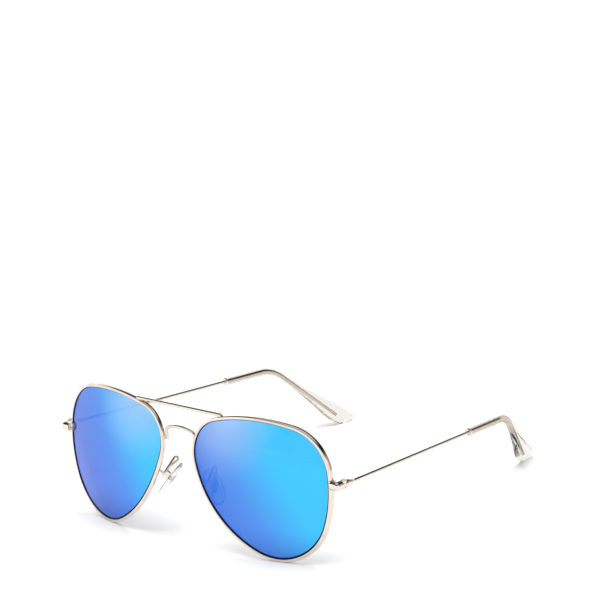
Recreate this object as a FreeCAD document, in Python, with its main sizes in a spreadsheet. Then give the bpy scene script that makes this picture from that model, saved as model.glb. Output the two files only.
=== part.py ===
"""Aviator sunglasses: wire front, two mirrored lenses, screwed nose pads and folding temples.

Frame: millimetres, +Z up, the front faces -Y and the temples run back along +Y. The glasses stand
open on the plane Z = 0, on the bottoms of both rims and both temple tips. The origin lies under the
middle of the bounding box. Depths are counted back from the front plane, the upright plane through
the middles of both lens openings. The wearer's left is +X: every left piece is modelled, and its
right twin is its mirror image in the YZ plane.
"""
import FreeCAD, Part

import os
from math import cos, pi, radians, sin, sqrt, tan

Vector = FreeCAD.Vector
Rotation = FreeCAD.Rotation
Placement = FreeCAD.Placement

doc = FreeCAD.newDocument("aviator_sunglasses")

# ---------------------------------------------------------------- driving dimensions
SIZES = [
    ("front_ahead", 65.35, "front plane ahead of the origin"),
    # the lens opening: a closed chain of six tangent arcs, started on the temple side
    ("start_heading", 69.5, "direction of the outline at the bottom of its temple side, degrees"),
    ("side_radius", 39.0, "temple side of the opening"),
    ("side_turn", 28.5, "degrees"),
    ("outer_top_radius", 17.8, "outer top corner"),
    ("outer_top_turn", 69.5, "degrees"),
    ("brow_radius", 70.5, "nearly flat top"),
    ("brow_turn", 27.5, "degrees"),
    ("inner_top_radius", 12.4, "inner top corner"),
    ("inner_top_turn", 93.5, "degrees"),
    ("nose_side_turn", 46.5, "degrees; its radius and the bottom's close the chain"),
    # the lens surface and the rim section
    ("lens_spacing", 36.75, "middle of the face to the centre of one lens opening"),
    ("surface_radius", 121.0, "sphere that the front of both rim and lens follows"),
    ("wrap_angle", 9.2, "how far each lens turns back towards the temple, degrees"),
    ("lean_angle", 3.7, "how far the top of the front leans back, degrees"),
    ("rim_width", 1.1, "rim seen from the front"),
    ("rim_depth", 1.5, "rim from front to back"),
    ("lens_thickness", 1.0, "moulded lens"),
    ("lens_recess", 0.4, "lens front behind the rim's front"),
    ("groove_depth", 0.5, "how far the lens edge sits in the rim"),
    ("core_length", 60.0, "length of the straight prisms that cut the outlines out"),
    # bridge and brow bar
    ("bridge_wire", 1.3, "bridge wire diameter"),
    ("bridge_half", 7.05, "middle of the face to each bridge leg"),
    ("bridge_foot", 37.3, "height of the square-cut ends of the legs"),
    ("bridge_apex", 42.7, "height of the wire's middle at the centre of the arch"),
    ("bridge_slope", 10.0, "slope of the arch's straight halves, degrees"),
    ("bridge_arch", 18.0, "bend radius at the middle of the arch"),
    ("bridge_corner", 1.9, "bend radius between arch and leg"),
    ("bridge_setback", 2.2, "bridge behind the front plane"),
    ("bar_wire", 1.3, "brow bar diameter"),
    ("bar_half", 21.4, "middle of the face to each square-cut end"),
    ("bar_height", 50.2, "height of the bar's axis"),
    ("bar_setback", 2.9, "bar behind the front plane"),
    # rim lock at the temple side of the rim
    ("lock_height", 30.1, "height of the split between the two closing blocks and of the hinge"),
    ("lock_radius", 1.3, "closing blocks, together one upright barrel"),
    ("lock_outset", 0.7, "axis of that barrel outside the lens opening"),
    ("lock_proud", 0.25, "that barrel ahead of the rim's front"),
    ("lock_tall", 3.0, "both blocks together"),
    ("lock_split", 0.12, "gap that the closing screw pulls together"),
    ("lock_screw", 0.8, "closing screw diameter"),
    ("lock_screw_outset", 0.62, "closing screw further out than the axis of its blocks"),
    ("lock_head", 1.3, "closing screw head diameter"),
    ("head_tall", 0.4, "height of each screw head"),
    ("slot_width", 0.24, "screwdriver slots"),
    ("slot_depth", 0.2, "screwdriver slots"),
    # end piece and hinge
    ("lug_start", 66.3, "inner end of the end piece"),
    ("lug_outer", 70.5, "outer face of the end piece"),
    ("lug_front", 7.6, "front face of the end piece behind the front plane"),
    ("lug_thick", 1.3, "strap thickness"),
    ("lug_tall", 3.1, "strap height"),
    ("hinge_setback", 11.9, "hinge pin behind the front plane"),
    ("barrel_radius", 1.1, "hinge barrels"),
    ("barrel_air", 0.1, "air around a hinge barrel beside a piece it turns against"),
    ("knuckle_tall", 0.9, "upper and lower barrel, on the front"),
    ("knuckle_gap", 0.06, "clearance above and below the temple's middle barrel"),
    ("pin_diameter", 0.9, "hinge screw"),
    ("pin_clearance", 0.05, "radial clearance of the middle barrel on the hinge screw"),
    ("pin_head", 1.6, "hinge screw head diameter"),
    ("leaf_thick", 0.5, "hinge leaf soldered inside the end piece"),
    ("leaf_gap", 0.1, "hinge leaf behind the bend of the end piece"),
    # temple
    ("temple_wire", 1.2, "temple wire diameter"),
    ("wire_outset", 0.1, "front end of the wire outside the hinge pin's axis"),
    ("wire_gap", 0.3, "front end of the wire behind the hinge barrels"),
    ("neck_length", 2.6, "tapered neck between the middle barrel and the wire"),
    ("neck_wall", 0.3, "wall of the sleeve that the wire is set in"),
    ("sleeve_length", 3.5, "sleeve that the wire is set in"),
    ("bend_radius", 12.0, "ear bend of the wire"),
    ("collar_diameter", 3.0, "metal collar in front of the plastic tip"),
    ("collar_length", 0.9, "metal collar"),
    ("collar_distance", 70.0, "hinge pin to the front of the collar, along the wire"),
    ("tip_diameter", 2.7, "round part of the plastic tip"),
    ("paddle_width", 8.0, "flat end of the tip, across"),
    ("paddle_thick", 2.3, "flat end of the tip, through"),
    ("paddle_drop", 1.0, "start of the flattening below the ear bend"),
    ("paddle_length", 25.75, "from there to where the tip is widest"),
    ("paddle_offset", 1.2, "middle of the paddle's blunt end to the rear of the wire's line"),
    # nose pads
    ("pad_length", 14.4, "nose pad"),
    ("pad_width", 7.4, "nose pad"),
    ("pad_dome", 1.6, "how far the skin side bulges"),
    ("pad_back", 0.5, "flat back face behind the pad's middle"),
    ("pad_pivot", 1.7, "pad screw behind the pad's middle"),
    ("arm_wire", 0.9, "pad arm wire diameter"),
    ("box_length", 2.4, "pad box along the pad"),
    ("box_width", 2.0, "pad box across the pad"),
    ("box_channel", 0.8, "slot of the pad box"),
    ("box_gap", 0.35, "pad box clear of the pad's back"),
    ("box_depth", 2.0, "pad box from its open side to its closed side"),
    ("tab_thick", 0.7, "eye and stem of the pad insert"),
    ("tab_radius", 0.7, "eye of the pad insert"),
    ("stem_width", 1.2, "stem of the pad insert, along the pad"),
    ("plate_length", 3.4, "plate of the insert moulded into the pad"),
    ("plate_width", 1.8, "plate of the insert"),
    ("plate_thick", 0.4, "plate of the insert"),
    ("plate_depth", 0.6, "far face of the plate in front of the pad's middle"),
    ("pad_screw", 0.7, "pad screw diameter"),
    ("pad_screw_head", 1.1, "pad screw head diameter"),
    ("pad_head_tall", 0.3, "pad screw head"),
    ("arm_inset", 0.3, "pad arm from the end of the pad box"),
]

sheet = doc.addObject("Spreadsheet::Sheet", "Sizes")
for row, (alias, value, note) in enumerate(SIZES, start=1):
    sheet.set(f"A{row}", alias)
    sheet.set(f"B{row}", str(value))
    sheet.setAlias(f"B{row}", alias)
    sheet.set(f"C{row}", note)
doc.recompute()


def size(alias):
    """The value of one cell of the sheet."""
    return float(getattr(sheet, alias))


FRONT_Y = -size("front_ahead")


def at(x, behind, z):
    """A point given by its distance behind the front plane."""
    return Vector(x, FRONT_Y + behind, z)


# ---------------------------------------------------------------- small builders
def bind(obj, **expressions):
    """Binds properties of obj to expressions in which cells are written as plain aliases."""
    for prop, expression in expressions.items():
        words = expression.replace("(", " ( ").replace(")", " ) ").split()
        text = " ".join("Sizes." + w if w[0].isalpha() else w for w in words)
        obj.setExpression(prop.replace("__", "."), text)
    return obj


def add(kind, name, **expressions):
    """A new document object with its label and its bound sizes."""
    obj = doc.addObject(kind, name)
    obj.Label = name
    return bind(obj, **expressions)


def place(obj, base, direction=Vector(0, 0, 1)):
    """Moves a primitive to base and turns its own Z axis along direction."""
    obj.Placement = Placement(base, Rotation(Vector(0, 0, 1), direction))
    return obj


def cut(name, base, *tools):
    """base less every tool; a chain of Part::Cut."""
    for index, tool in enumerate(tools):
        last = index == len(tools) - 1
        result = add("Part::Cut", name if last else f"{name}_step{index}")
        result.Base = base
        result.Tool = tool
        base = result
    return base


def common(name, base, tool):
    result = add("Part::Common", name)
    result.Base = base
    result.Tool = tool
    return result


def fuse(name, *shapes):
    result = add("Part::MultiFuse", name)
    result.Shapes = list(shapes)
    result.Refine = True
    return result


def wire_feature(name, edges):
    feature = add("Part::Feature", name)
    feature.Shape = Part.Wire(edges)
    return feature


def prism(name, outline, direction, **expressions):
    """A solid prism: the outline carried along direction by a bound length."""
    body = add("Part::Extrusion", name, **expressions)
    body.Base = outline
    body.DirMode = "Custom"
    body.Dir = direction
    body.Solid = True
    return body


def rounded_edges(points, radii):
    """Straight runs through points, joined at each inner point by a tangent arc of its radius."""
    edges = []
    start = points[0]
    for before, corner, after, radius in zip(points, points[1:], points[2:], radii):
        back = (before - corner).normalize()
        ahead = (after - corner).normalize()
        half = back.getAngle(ahead) / 2
        reach = radius / tan(half)
        middle = (back + ahead).normalize()
        arc_start = corner + back * reach
        arc_end = corner + ahead * reach
        arc_middle = corner + middle * (radius / sin(half) - radius)
        edges.append(Part.LineSegment(start, arc_start).toShape())
        edges.append(Part.Arc(arc_start, arc_middle, arc_end).toShape())
        start = arc_end
    edges.append(Part.LineSegment(start, points[-1]).toShape())
    return edges


def bent_wire(name, edges, diameter_cell):
    """A round wire swept along a chain of tangent edges."""
    path = wire_feature(name + "_path", edges)
    first = edges[0]
    tangent = first.tangentAt(first.FirstParameter)
    section = add("Part::Circle", name + "_section", Radius=f"{diameter_cell} / 2")
    place(section, first.valueAt(first.FirstParameter), tangent)
    sweep = add("Part::Sweep", name)
    sweep.Sections = [section]
    sweep.Spine = (path, [f"Edge{i + 1}" for i in range(len(edges))])
    sweep.Solid = True
    return sweep


def rod(name, base, direction, radius, height):
    """A round bar from base along direction; radius and height are expressions."""
    body = add("Part::Cylinder", name, Radius=radius, Height=height)
    return place(body, base, direction)


def block(name, base, length, width, height):
    """A box with its lowest corner at base; its three sides are expressions."""
    body = add("Part::Box", name, Length=length, Width=width, Height=height)
    body.Placement.Base = base
    return body


# ---------------------------------------------------------------- lens outline
def outline_arcs():
    """(centre, radius, heading at start, heading at end) of the six arcs, in the plane X, Z.

    The outline runs anticlockwise seen from the front. Two radii follow from the other sizes,
    because the chain has to end where it starts.
    """
    turns = [radians(size(cell)) for cell in
             ("side_turn", "outer_top_turn", "brow_turn", "inner_top_turn", "nose_side_turn")]
    turns.append(2 * pi - sum(turns))
    headings = [radians(size("start_heading"))]
    for turn in turns:
        headings.append(headings[-1] + turn)
    spans = list(zip(headings, headings[1:]))
    chords = [Vector(sin(b) - sin(a), 0, cos(a) - cos(b)) for a, b in spans]
    radii = [size(cell) for cell in
             ("side_radius", "outer_top_radius", "brow_radius", "inner_top_radius")]
    rest = Vector()
    for radius, chord in zip(radii, chords):
        rest -= chord * radius
    nose, bottom = chords[4], chords[5]
    scale = nose.x * bottom.z - nose.z * bottom.x
    radii.append((rest.x * bottom.z - rest.z * bottom.x) / scale)
    radii.append((nose.x * rest.z - nose.z * rest.x) / scale)
    arcs = []
    point = Vector()
    for radius, chord, (a, b) in zip(radii, chords, spans):
        centre = point + Vector(-sin(a), 0, cos(a)) * radius
        arcs.append((centre, radius, a, b))
        point = point + chord * radius
    return arcs


def outward(heading):
    """Unit vector out of the outline where it runs in that heading."""
    return Vector(sin(heading), 0, -cos(heading))


ARCS = outline_arcs()


def extreme(heading):
    """The outline's point where it runs in that heading, such as its highest at 180 degrees."""
    for centre, radius, a, b in ARCS:
        for turn in (heading, heading + 2 * pi):
            if a <= turn <= b:
                return centre + outward(turn) * radius


RIGHTMOST = extreme(pi / 2)
HIGHEST = extreme(pi)
LEFTMOST = extreme(3 * pi / 2)
LOWEST = extreme(2 * pi)
HALF_TALL = (HIGHEST.z - LOWEST.z) / 2
LENS_HEIGHT = HALF_TALL + size("rim_width")
BOX_MIDDLE = Vector((RIGHTMOST.x + LEFTMOST.x) / 2, 0, (HIGHEST.z + LOWEST.z) / 2)
LENS_CENTRE = at(size("lens_spacing"), 0, LENS_HEIGHT)
PRISM_START = Vector(0, -size("core_length") / 3, 0)


def outline(name, margin):
    """The lens opening's outline, that margin further out all round."""
    shift = LENS_CENTRE - BOX_MIDDLE + PRISM_START
    edges = []
    for centre, radius, a, b in ARCS:
        ends = [centre + outward(t) * (radius + margin) + shift for t in (a, (a + b) / 2, b)]
        edges.append(Part.Arc(*ends).toShape())
    return wire_feature(name, edges)


# ---------------------------------------------------------------- the lens surface
WRAP = tan(radians(size("wrap_angle")))
LEAN = tan(radians(size("lean_angle")))
INWARD = Vector(-WRAP, 1, -LEAN).normalize()
SPHERE_CENTRE = LENS_CENTRE + INWARD * size("surface_radius")


def front_surface(x, z):
    """Y of the rim's front surface over the point (x, z)."""
    dx = x - SPHERE_CENTRE.x
    dz = z - SPHERE_CENTRE.z
    return SPHERE_CENTRE.y - sqrt(size("surface_radius") ** 2 - dx * dx - dz * dz)


def shell(name, outer, inner):
    """The layer between two spheres about the surface's centre."""
    outer_ball = place(add("Part::Sphere", name + "_outer", Radius=outer), SPHERE_CENTRE)
    inner_ball = place(add("Part::Sphere", name + "_inner", Radius=inner), SPHERE_CENTRE)
    return cut(name, outer_ball, inner_ball)


FORWARD = Vector(0, 1, 0)
UP = Vector(0, 0, 1)
ACROSS = Vector(1, 0, 0)

aperture = prism("aperture_core", outline("aperture_outline", 0), FORWARD, LengthFwd="core_length")
lens_core = prism(
    "lens_core", outline("lens_outline", size("groove_depth")), FORWARD, LengthFwd="core_length"
)
rim_core = prism(
    "rim_core", outline("rim_outline", size("rim_width")), FORWARD, LengthFwd="core_length"
)

lens_shell = shell(
    "lens_shell",
    "surface_radius - lens_recess",
    "surface_radius - lens_recess - lens_thickness",
)
left_lens = common("left_lens", lens_core, lens_shell)

rim_shell = shell("rim_shell", "surface_radius", "surface_radius - rim_depth")
rim_blank = common("rim_blank", cut("rim_ring", rim_core, aperture), rim_shell)

# ---------------------------------------------------------------- rim lock
SIDE_X = LENS_CENTRE.x + RIGHTMOST.x - BOX_MIDDLE.x
LOCK_X = SIDE_X + size("lock_outset")
LOCK_FRONT = front_surface(LOCK_X, size("lock_height")) - size("lock_proud")
LOCK_Y = LOCK_FRONT + size("lock_radius")
SCREW_X = LOCK_X + size("lock_screw_outset")
LOCK_BOTTOM = size("lock_height") - size("lock_tall") / 2
LOCK_TOP = size("lock_height") + size("lock_tall") / 2

lock_barrel = rod(
    "lock_barrel", Vector(LOCK_X, LOCK_Y, LOCK_BOTTOM), UP, "lock_radius", "lock_tall"
)

lock_shaft = rod(
    "lock_shaft",
    Vector(SCREW_X, LOCK_Y, LOCK_BOTTOM),
    UP,
    "lock_screw / 2",
    "lock_tall - head_tall",
)
lock_head = rod(
    "lock_head",
    Vector(SCREW_X, LOCK_Y, LOCK_BOTTOM - size("head_tall")),
    UP,
    "lock_head / 2",
    "head_tall",
)
lock_slot = block(
    "lock_slot",
    Vector(
        SCREW_X - size("lock_head"),
        LOCK_Y - size("slot_width") / 2,
        LOCK_BOTTOM - size("head_tall"),
    ),
    "2 * lock_head",
    "slot_width",
    "slot_depth",
)
lock_screw_blank = fuse("lock_screw_blank", lock_shaft, lock_head)
left_lock_screw = cut("left_lock_screw", lock_screw_blank, lock_slot)
left_rim = cut("left_rim", rim_blank, left_lens, lock_barrel, lock_screw_blank)

zone_half = 2 * size("lock_radius")
upper_zone = block(
    "upper_zone",
    Vector(LOCK_X - zone_half, LOCK_Y - zone_half, size("lock_height") + size("lock_split") / 2),
    "4 * lock_radius",
    "4 * lock_radius",
    "lock_tall",
)
lower_zone = block(
    "lower_zone",
    Vector(
        LOCK_X - zone_half,
        LOCK_Y - zone_half,
        size("lock_height") - size("lock_split") / 2 - size("lock_tall"),
    ),
    "4 * lock_radius",
    "4 * lock_radius",
    "lock_tall",
)
lock_blank = cut("lock_blank", lock_barrel, left_lens, left_lock_screw)
left_upper_closing_block = common("left_upper_closing_block", lock_blank, upper_zone)
left_lower_closing_block = common("left_lower_closing_block", lock_blank, lower_zone)

# ---------------------------------------------------------------- end piece and hinge
HINGE_X = size("lug_outer") - size("barrel_radius")
HINGE_Y = FRONT_Y + size("hinge_setback")
LUG_BOTTOM = size("lock_height") - size("lug_tall") / 2
LUG_TOP = size("lock_height") + size("lug_tall") / 2


def plan_outline(name, corners, radii):
    """A closed outline at the end piece's lower face, its corners rounded where a radius is given."""
    points = [Vector(x, y, LUG_BOTTOM) for x, y in corners]
    return wire_feature(name, rounded_edges(points, radii))


outer = size("lug_outer")
thick = size("lug_thick")
front = FRONT_Y + size("lug_front")
strap_outline = plan_outline(
    "strap_outline",
    [
        (size("lug_start"), front + thick / 2),
        (size("lug_start"), front),
        (outer, front),
        (outer, HINGE_Y),
        (outer - thick, HINGE_Y),
        (outer - thick, front + thick),
        (size("lug_start"), front + thick),
        (size("lug_start"), front + thick / 2),
    ],
    [0.25, 1.3, 0.1, 0.1, 0.3, 0.1],
)
strap = prism("strap", strap_outline, UP, LengthFwd="lug_tall")
hinge_room = rod(
    "hinge_room", Vector(HINGE_X, HINGE_Y, LUG_BOTTOM), UP, "barrel_radius + barrel_air", "lug_tall"
)
left_end_piece = cut("left_end_piece", strap, hinge_room, lock_barrel, lock_head)

knuckles = [
    rod("lower_knuckle", Vector(HINGE_X, HINGE_Y, LUG_BOTTOM), UP, "barrel_radius", "knuckle_tall"),
    rod(
        "upper_knuckle",
        Vector(HINGE_X, HINGE_Y, LUG_TOP - size("knuckle_tall")),
        UP,
        "barrel_radius",
        "knuckle_tall",
    ),
]
leaf_plate = block(
    "leaf_plate",
    Vector(outer - thick - size("leaf_thick"), front + thick + size("leaf_gap"), LUG_BOTTOM),
    "leaf_thick",
    "hinge_setback - lug_front - lug_thick - leaf_gap",
    "lug_tall",
)
middle_room = rod(
    "middle_room",
    Vector(HINGE_X, HINGE_Y, LUG_BOTTOM + size("knuckle_tall")),
    UP,
    "barrel_radius + barrel_air",
    "lug_tall - 2 * knuckle_tall",
)
pin_shaft = rod("pin_shaft", Vector(HINGE_X, HINGE_Y, LUG_BOTTOM), UP, "pin_diameter / 2", "lug_tall")
pin_head = rod("pin_head", Vector(HINGE_X, HINGE_Y, LUG_TOP), UP, "pin_head / 2", "head_tall")
pin_slot = block(
    "pin_slot",
    Vector(
        HINGE_X - size("pin_head"),
        HINGE_Y - size("slot_width") / 2,
        LUG_TOP + size("head_tall") - size("slot_depth"),
    ),
    "2 * pin_head",
    "slot_width",
    "slot_depth",
)
left_hinge_screw = cut("left_hinge_screw", fuse("pin_blank", pin_shaft, pin_head), pin_slot)
leaf_blank = fuse("leaf_blank", leaf_plate, *knuckles)
left_front_hinge_leaf = cut(
    "left_front_hinge_leaf", leaf_blank, middle_room, pin_shaft, left_end_piece
)

# ---------------------------------------------------------------- temple
WIRE_START = Vector(
    HINGE_X + size("wire_outset"),
    HINGE_Y + size("barrel_radius") + size("wire_gap"),
    size("lock_height"),
)
EAR_CORNER = at(59.5, 105.5, 25.5)
WIRE_END = at(47.6, 125.0, 3.55)
ALONG = (EAR_CORNER - WIRE_START).normalize()
DOWN = (WIRE_END - EAR_CORNER).normalize()
SIDEWAYS = ALONG.cross(DOWN).normalize()
TURN = ALONG.getAngle(DOWN)
BEND_REACH = size("bend_radius") * tan(TURN / 2)

wire_edges = rounded_edges([WIRE_START, EAR_CORNER, WIRE_END], [size("bend_radius")])
left_temple_wire = bent_wire("left_temple_wire", wire_edges, "temple_wire")

middle_knuckle = rod(
    "middle_knuckle",
    Vector(HINGE_X, HINGE_Y, LUG_BOTTOM + size("knuckle_tall") + size("knuckle_gap")),
    UP,
    "barrel_radius",
    "lug_tall - 2 * knuckle_tall - 2 * knuckle_gap",
)
web = block(
    "web",
    Vector(HINGE_X, HINGE_Y, LUG_BOTTOM + size("knuckle_tall") + size("knuckle_gap")),
    "barrel_radius",
    "barrel_radius + wire_gap + wire_outset",
    "lug_tall - 2 * knuckle_tall - 2 * knuckle_gap",
)
neck = add(
    "Part::Cone",
    "neck",
    Radius1="lug_tall / 2",
    Radius2="temple_wire / 2 + neck_wall",
    Height="neck_length",
)
place(neck, WIRE_START, ALONG)
neck_strap = block(
    "neck_strap",
    Vector(outer - thick, HINGE_Y + size("barrel_radius"), LUG_BOTTOM),
    "lug_thick",
    "neck_length * 2",
    "lug_tall",
)
neck_taper = common("neck_taper", neck, neck_strap)
neck_sleeve = rod("neck_sleeve", WIRE_START, ALONG, "temple_wire / 2 + neck_wall", "sleeve_length")
pin_bore = rod(
    "pin_bore",
    Vector(HINGE_X, HINGE_Y, LUG_BOTTOM),
    UP,
    "pin_diameter / 2 + pin_clearance",
    "lug_tall",
)
neck_blank = fuse("neck_blank", middle_knuckle, web, neck_taper, neck_sleeve)
left_temple_hinge_block = cut("left_temple_hinge_block", neck_blank, pin_bore, left_temple_wire)

collar_start = WIRE_START + ALONG * size("collar_distance")
collar_blank = rod("collar_blank", collar_start, ALONG, "collar_diameter / 2", "collar_length")
left_tip_collar = cut("left_tip_collar", collar_blank, left_temple_wire)


def tip_section(name, centre, heading, width, through):
    """An ellipse across the tip: its long axis lies in the plane of the ear bend."""
    section = add("Part::Ellipse", name, MajorRadius=width, MinorRadius=through)
    section.Placement = Placement(centre, Rotation(SIDEWAYS.cross(heading), SIDEWAYS, heading, "ZXY"))
    return section


tip_start = collar_start + ALONG * size("collar_length")
paddle_start = EAR_CORNER + DOWN * (BEND_REACH + size("paddle_drop"))
round_edges = rounded_edges([tip_start, EAR_CORNER, paddle_start], [size("bend_radius")])
tip_round = bent_wire("tip_round", round_edges, "tip_diameter")
# (share of the paddle's length, of its spread, of its offset and of its thickness, turn in degrees):
# it flares further to the rear, and its blunt end turns until it lies nearly level
PADDLE = [
    (0, 0, 0, 1, 0),
    (0.12, 0.01, 0.04, 1, 0),
    (0.3, 0.08, 0.08, 1, 0),
    (0.5, 0.27, 0.1, 1, 1),
    (0.7, 0.58, 0.15, 1, 5),
    (0.86, 0.86, 0.28, 1, 12),
    (1, 1, 0.5, 1, 20),
    (1.08, 1.01, 0.75, 1, 25),
    (1.14, 0.96, 0.9, 0.88, 29),
    (1.18, 0.84, 0.97, 0.68, 31),
    (1.2, 0.66, 1, 0.42, 31),
]
rear = DOWN.cross(SIDEWAYS)
sections = []
for index, (share, spread, shift, thin, turn) in enumerate(PADDLE):
    offset = rear * (size("paddle_offset") * shift)
    centre = paddle_start + DOWN * (size("paddle_length") * share) + offset
    heading = Rotation(SIDEWAYS, turn).multVec(DOWN)
    width = f"tip_diameter / 2 + {spread} * (paddle_width - tip_diameter) / 2"
    through = f"{thin} * (tip_diameter / 2 + {spread} * (paddle_thick - tip_diameter) / 2)"
    sections.append(tip_section(f"tip_paddle{index}", centre, heading, width, through))
tip_paddle = add("Part::Loft", "tip_paddle")
tip_paddle.Sections = sections
tip_paddle.Solid = True
tip_blank = fuse("tip_blank", tip_round, tip_paddle)
left_temple_tip = cut("left_temple_tip", tip_blank, left_temple_wire)

# ---------------------------------------------------------------- bridge and brow bar
half = size("bridge_half")
slope = radians(size("bridge_slope"))
setback = size("bridge_setback")
peak = size("bridge_apex") + size("bridge_arch") * (1 / cos(slope) - 1)
shoulder = peak - half * tan(slope)
bridge_points = [
    at(-half, setback, size("bridge_foot")),
    at(-half, setback, shoulder),
    at(0, setback, peak),
    at(half, setback, shoulder),
    at(half, setback, size("bridge_foot")),
]
bridge_radii = [size("bridge_corner"), size("bridge_arch"), size("bridge_corner")]
bridge_wire = bent_wire("bridge_wire", rounded_edges(bridge_points, bridge_radii), "bridge_wire")


def mirror(name, source):
    """The wearer's right twin of a left piece."""
    twin = add("Part::Mirroring", name)
    twin.Source = source
    twin.Normal = ACROSS
    return twin


right_rim = mirror("right_rim", left_rim)
bridge = cut("bridge", bridge_wire, left_rim, right_rim)
bar_start = at(-size("bar_half"), size("bar_setback"), size("bar_height"))
bar_rod = rod("bar_rod", bar_start, ACROSS, "bar_wire / 2", "2 * bar_half")
brow_bar = cut("brow_bar", bar_rod, left_rim, right_rim)

# ---------------------------------------------------------------- nose pad and its arm
PAD_CENTRE = at(10.95, 5.15, 21.4)
PAD_LONG = Vector(0.585, -0.287, -0.757).normalize()
PAD_WIDE = Vector(0.42, 0.905, -0.018)
PAD_WIDE = (PAD_WIDE - PAD_LONG * PAD_WIDE.dot(PAD_LONG)).normalize()
PAD_REAR = PAD_LONG.cross(PAD_WIDE)
PAD_TURN = Rotation(PAD_LONG, PAD_WIDE, PAD_REAR, "ZXY")


def pad_point(along, wide, behind):
    """A point in the nose pad's own axes."""
    return PAD_CENTRE + PAD_LONG * along + PAD_WIDE * wide + PAD_REAR * behind


def pad_block(name, corner_at, length, width, height):
    """A box set square to the nose pad, its lowest corner given in the pad's axes."""
    body = block(name, pad_point(*corner_at), length, width, height)
    body.Placement.Rotation = PAD_TURN
    return body


PIVOT = size("pad_pivot")
pad_egg = add(
    "Part::Ellipsoid",
    "pad_egg",
    Radius1="pad_dome",
    Radius2="pad_length / 2",
    Radius3="pad_width / 2",
)
pad_egg.Placement = Placement(PAD_CENTRE, PAD_TURN)
pad_waste = pad_block(
    "pad_waste",
    (-size("pad_length"), -size("pad_width"), size("pad_back")),
    "2 * pad_length",
    "2 * pad_width",
    "pad_length",
)
eye_half = size("tab_thick") / 2
insert_eye = rod("insert_eye", pad_point(0, -eye_half, PIVOT), PAD_WIDE, "tab_radius", "tab_thick")
plate_back = size("plate_thick") - size("plate_depth")
insert_stem = pad_block(
    "insert_stem",
    (-size("stem_width") / 2, -eye_half, plate_back),
    "stem_width",
    "tab_thick",
    "pad_pivot + plate_depth - plate_thick",
)
insert_plate = pad_block(
    "insert_plate",
    (-size("plate_length") / 2, -size("plate_width") / 2, -size("plate_depth")),
    "plate_length",
    "plate_width",
    "plate_thick",
)
insert_bore = rod(
    "insert_bore",
    pad_point(0, -size("box_width"), PIVOT),
    PAD_WIDE,
    "pad_screw / 2 + pin_clearance",
    "2 * box_width",
)
insert_blank = fuse("insert_blank", insert_eye, insert_stem, insert_plate)
left_pad_insert = cut("left_pad_insert", insert_blank, insert_bore)
left_nose_pad = cut("left_nose_pad", pad_egg, pad_waste, insert_blank)

box_start = size("pad_back") + size("box_gap")
box_solid = pad_block(
    "box_solid",
    (-size("box_length") / 2, -size("box_width") / 2, box_start),
    "box_length",
    "box_width",
    "box_depth",
)
box_slot = pad_block(
    "box_slot",
    (-size("box_length"), -size("box_channel") / 2, size("pad_back")),
    "2 * box_length",
    "box_channel",
    "pad_pivot - pad_back + tab_radius + 0.25",
)
screw_end = -size("box_width") / 2
pad_screw_shaft = rod(
    "pad_screw_shaft", pad_point(0, screw_end, PIVOT), PAD_WIDE, "pad_screw / 2", "box_width"
)
pad_screw_cap = rod(
    "pad_screw_cap",
    pad_point(0, -screw_end, PIVOT),
    PAD_WIDE,
    "pad_screw_head / 2",
    "pad_head_tall",
)
left_pad_screw = fuse("left_pad_screw", pad_screw_shaft, pad_screw_cap)

box_back = box_start + size("box_depth")
ARM_POINTS = [
    at(10.4, 0.0, 25.5),
    at(11.0, 2.4, 23.8),
    at(10.1, 7.6, 28.6),
    at(9.4, 9.2, 27.6),
    pad_point(size("arm_inset") - size("box_length") / 2, 0, box_back),
]
ARM_RADII = [0.9, 0.7, 0.7]
arm_blank = bent_wire("arm_blank", rounded_edges(ARM_POINTS, ARM_RADII), "arm_wire")
left_pad_box = cut("left_pad_box", box_solid, box_slot, pad_screw_shaft)
left_pad_arm = cut("left_pad_arm", arm_blank, left_rim, left_lens, left_pad_box, box_slot)

# ---------------------------------------------------------------- mirrored pieces and output
LEFT_PIECES = [
    left_rim,
    left_lens,
    left_upper_closing_block,
    left_lower_closing_block,
    left_lock_screw,
    left_end_piece,
    left_front_hinge_leaf,
    left_hinge_screw,
    left_temple_hinge_block,
    left_temple_wire,
    left_tip_collar,
    left_temple_tip,
    left_pad_arm,
    left_pad_box,
    left_pad_screw,
    left_pad_insert,
    left_nose_pad,
]
pieces = [bridge, brow_bar, right_rim] + LEFT_PIECES
for piece in LEFT_PIECES[1:]:
    pieces.append(mirror(piece.Label.replace("left_", "right_"), piece))

doc.recompute()
broken = [obj.Label for obj in doc.Objects if {"Invalid", "Error"} & set(obj.State)]
for piece in pieces:
    shape = piece.Shape
    if shape.isNull() or not shape.isValid() or len(shape.Solids) != 1:
        broken.append(f"{piece.Label}: {shape.ShapeType if not shape.isNull() else 'null'}")
if broken:
    raise RuntimeError("these objects failed: " + ", ".join(broken))

os.makedirs("parts", exist_ok=True)
for piece in pieces:
    piece.Shape.exportStep(f"parts/{piece.Label}.step")
    box = piece.Shape.optimalBoundingBox(True, True)
    print(f"{piece.Label:28s} {piece.Shape.Volume:9.3f} mm3   z {box.ZMin:7.3f} to {box.ZMax:7.3f}")
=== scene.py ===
from math import cos, pi, radians, sin, tan

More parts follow.
